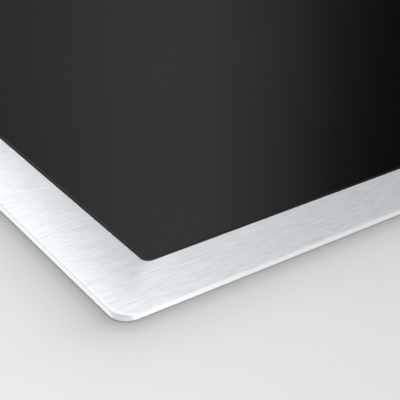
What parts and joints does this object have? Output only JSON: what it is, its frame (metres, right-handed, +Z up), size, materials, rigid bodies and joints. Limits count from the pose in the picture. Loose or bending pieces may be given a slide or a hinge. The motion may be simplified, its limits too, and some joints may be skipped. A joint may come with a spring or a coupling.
{
  "type": "electric induction cooktop",
  "caption": "Built-in induction cooktop: black glass-ceramic top in a brushed stainless trim frame over a vented steel casing with swing-out worktop clamps and a terminal cover.",
  "frame": {"origin": "centre of the casing's underside, on the surface it stands on before it is dropped into the worktop", "axes": "+X to the cook's right, +Y to the back, +Z up; the worktop's surface is at z = 0.051"},
  "size_m": [0.576, 0.516, 0.0521],
  "materials": {
    "stainless": "brushed along the front edge, satin",
    "black_glass": "opaque black glass-ceramic, polished",
    "silicone": "black silicone",
    "foam": "closed-cell foam",
    "galvanised": "galvanised sheet, faint spangle",
    "zinc": "zinc plated",
    "spring_steel": "drawn wire",
    "aluminium": "mill finish",
    "copper": "enamelled copper litz",
    "mica": "pressed mica sheet",
    "former": "glass-filled moulding with ferrite bars",
    "circuit_board": "solder-masked board with components",
    "black_plastic": "moulded, fine texture",
    "white_plastic": "moulded polyamide"
  },
  "bodies": {
    "hob_body": {"trim_frame": "stainless", "glass_panel": "black_glass", "glass_bond": "silicone", "worktop_seal": "foam", "casing_tray": "galvanised", "board_carrier_left": "black_plastic", "power_board_left": "circuit_board", "heat_sink_left": "aluminium", "plate_spring_left_front": "spring_steel", "plate_spring_left_outer": "spring_steel", "plate_spring_left_inner": "spring_steel", "board_carrier_right": "black_plastic", "power_board_right": "circuit_board", "heat_sink_right": "aluminium", "plate_spring_right_front": "spring_steel", "plate_spring_right_outer": "spring_steel", "plate_spring_right_inner": "spring_steel", "filter_board": "circuit_board", "touch_board": "circuit_board", "touch_carrier": "black_plastic", "ribbon_cable": "white_plastic", "blower_housing": "black_plastic", "blower_cover": "black_plastic", "blower_motor": "zinc", "terminal_housing": "white_plastic", "terminal_block": "white_plastic", "cable_clamp_bar": "white_plastic", "cable_grommet": "silicone"},
    "coils_left": {"coil_plate_left": "aluminium", "coil_former_front_left": "former", "coil_winding_front_left": "copper", "mica_disc_front_left": "mica", "temp_sensor_front_left": "white_plastic", "coil_former_rear_left": "former", "coil_winding_rear_left": "copper", "mica_disc_rear_left": "mica", "temp_sensor_rear_left": "white_plastic"},
    "coils_right": {"coil_plate_right": "aluminium", "coil_former_front_right": "former", "coil_winding_front_right": "copper", "mica_disc_front_right": "mica", "temp_sensor_front_right": "white_plastic", "coil_former_rear_right": "former", "coil_winding_rear_right": "copper", "mica_disc_rear_right": "mica", "temp_sensor_rear_right": "white_plastic"},
    "fan_rotor": {"blower_rotor": "black_plastic"},
    "terminal_cover": {"terminal_cover": "black_plastic"},
    "clamp_washer_front_left": {"clamp_washer_front_left": "zinc"},
    "clamp_screw_front_left": {"clamp_screw_front_left": "zinc"},
    "clamp_arm_front_left": {"clamp_arm_front_left": "galvanised"},
    "clamp_washer_front_right": {"clamp_washer_front_right": "zinc"},
    "clamp_screw_front_right": {"clamp_screw_front_right": "zinc"},
    "clamp_arm_front_right": {"clamp_arm_front_right": "galvanised"},
    "clamp_washer_rear_left": {"clamp_washer_rear_left": "zinc"},
    "clamp_screw_rear_left": {"clamp_screw_rear_left": "zinc"},
    "clamp_arm_rear_left": {"clamp_arm_rear_left": "galvanised"},
    "clamp_washer_rear_right": {"clamp_washer_rear_right": "zinc"},
    "clamp_screw_rear_right": {"clamp_screw_rear_right": "zinc"},
    "clamp_arm_rear_right": {"clamp_arm_rear_right": "galvanised"}
  },
  "joints": [
    {"name": "coils_left_float", "type": "slide", "parent": "hob_body", "child": "coils_left", "axis": [0, 0, 1], "range_m": [-0.003, 0], "stiffness_N_per_m": 3000, "springref_m": 0.015, "deforming": ["plate_spring_left_front", "plate_spring_left_outer", "plate_spring_left_inner"]},
    {"name": "coils_right_float", "type": "slide", "parent": "hob_body", "child": "coils_right", "axis": [0, 0, 1], "range_m": [-0.003, 0], "stiffness_N_per_m": 3000, "springref_m": 0.015, "deforming": ["plate_spring_right_front", "plate_spring_right_outer", "plate_spring_right_inner"]},
    {"name": "fan_spin", "type": "hinge", "parent": "hob_body", "child": "fan_rotor", "pos_m": [0, 0.15, 0.018], "axis": [0, 0, 1], "continuous": true},
    {"name": "terminal_cover_hinge", "type": "hinge", "parent": "hob_body", "child": "terminal_cover", "pos_m": [-0.167, 0.2376, 0.0076], "axis": [-1, 0, 0], "range_deg": [0, 90]},
    {"name": "clamp_lift_front_left", "type": "slide", "parent": "hob_body", "child": "clamp_washer_front_left", "axis": [0, 0, 1], "range_m": [0, 0.014]},
    {"name": "clamp_screw_turn_front_left", "type": "hinge", "parent": "clamp_washer_front_left", "child": "clamp_screw_front_left", "pos_m": [-0.2725, -0.15, 0.004], "axis": [0, 0, 1], "range_deg": [0, 7200]},
    {"name": "clamp_arm_swing_front_left", "type": "hinge", "parent": "clamp_washer_front_left", "child": "clamp_arm_front_left", "pos_m": [-0.2725, -0.15, 0.0074], "axis": [0, 0, 1], "range_deg": [0, 90]},
    {"name": "clamp_lift_front_right", "type": "slide", "parent": "hob_body", "child": "clamp_washer_front_right", "axis": [0, 0, 1], "range_m": [0, 0.014]},
    {"name": "clamp_screw_turn_front_right", "type": "hinge", "parent": "clamp_washer_front_right", "child": "clamp_screw_front_right", "pos_m": [0.2725, -0.15, 0.004], "axis": [0, 0, 1], "range_deg": [0, 7200]},
    {"name": "clamp_arm_swing_front_right", "type": "hinge", "parent": "clamp_washer_front_right", "child": "clamp_arm_front_right", "pos_m": [0.2725, -0.15, 0.0074], "axis": [0, 0, -1], "range_deg": [0, 90]},
    {"name": "clamp_lift_rear_left", "type": "slide", "parent": "hob_body", "child": "clamp_washer_rear_left", "axis": [0, 0, 1], "range_m": [0, 0.014]},
    {"name": "clamp_screw_turn_rear_left", "type": "hinge", "parent": "clamp_washer_rear_left", "child": "clamp_screw_rear_left", "pos_m": [-0.2725, 0.15, 0.004], "axis": [0, 0, 1], "range_deg": [0, 7200]},
    {"name": "clamp_arm_swing_rear_left", "type": "hinge", "parent": "clamp_washer_rear_left", "child": "clamp_arm_rear_left", "pos_m": [-0.2725, 0.15, 0.0074], "axis": [0, 0, -1], "range_deg": [0, 90]},
    {"name": "clamp_lift_rear_right", "type": "slide", "parent": "hob_body", "child": "clamp_washer_rear_right", "axis": [0, 0, 1], "range_m": [0, 0.014]},
    {"name": "clamp_screw_turn_rear_right", "type": "hinge", "parent": "clamp_washer_rear_right", "child": "clamp_screw_rear_right", "pos_m": [0.2725, 0.15, 0.004], "axis": [0, 0, 1], "range_deg": [0, 7200]},
    {"name": "clamp_arm_swing_rear_right", "type": "hinge", "parent": "clamp_washer_rear_right", "child": "clamp_arm_rear_right", "pos_m": [0.2725, 0.15, 0.0074], "axis": [0, 0, 1], "range_deg": [0, 90]}
  ],
  "couplings": [
    {"joint": "clamp_screw_turn_front_left", "follows": "clamp_lift_front_left", "rad_per_m": 8975.9},
    {"joint": "clamp_screw_turn_front_right", "follows": "clamp_lift_front_right", "rad_per_m": 8975.9},
    {"joint": "clamp_screw_turn_rear_left", "follows": "clamp_lift_rear_left", "rad_per_m": 8975.9},
    {"joint": "clamp_screw_turn_rear_right", "follows": "clamp_lift_rear_right", "rad_per_m": 8975.9}
  ]
}
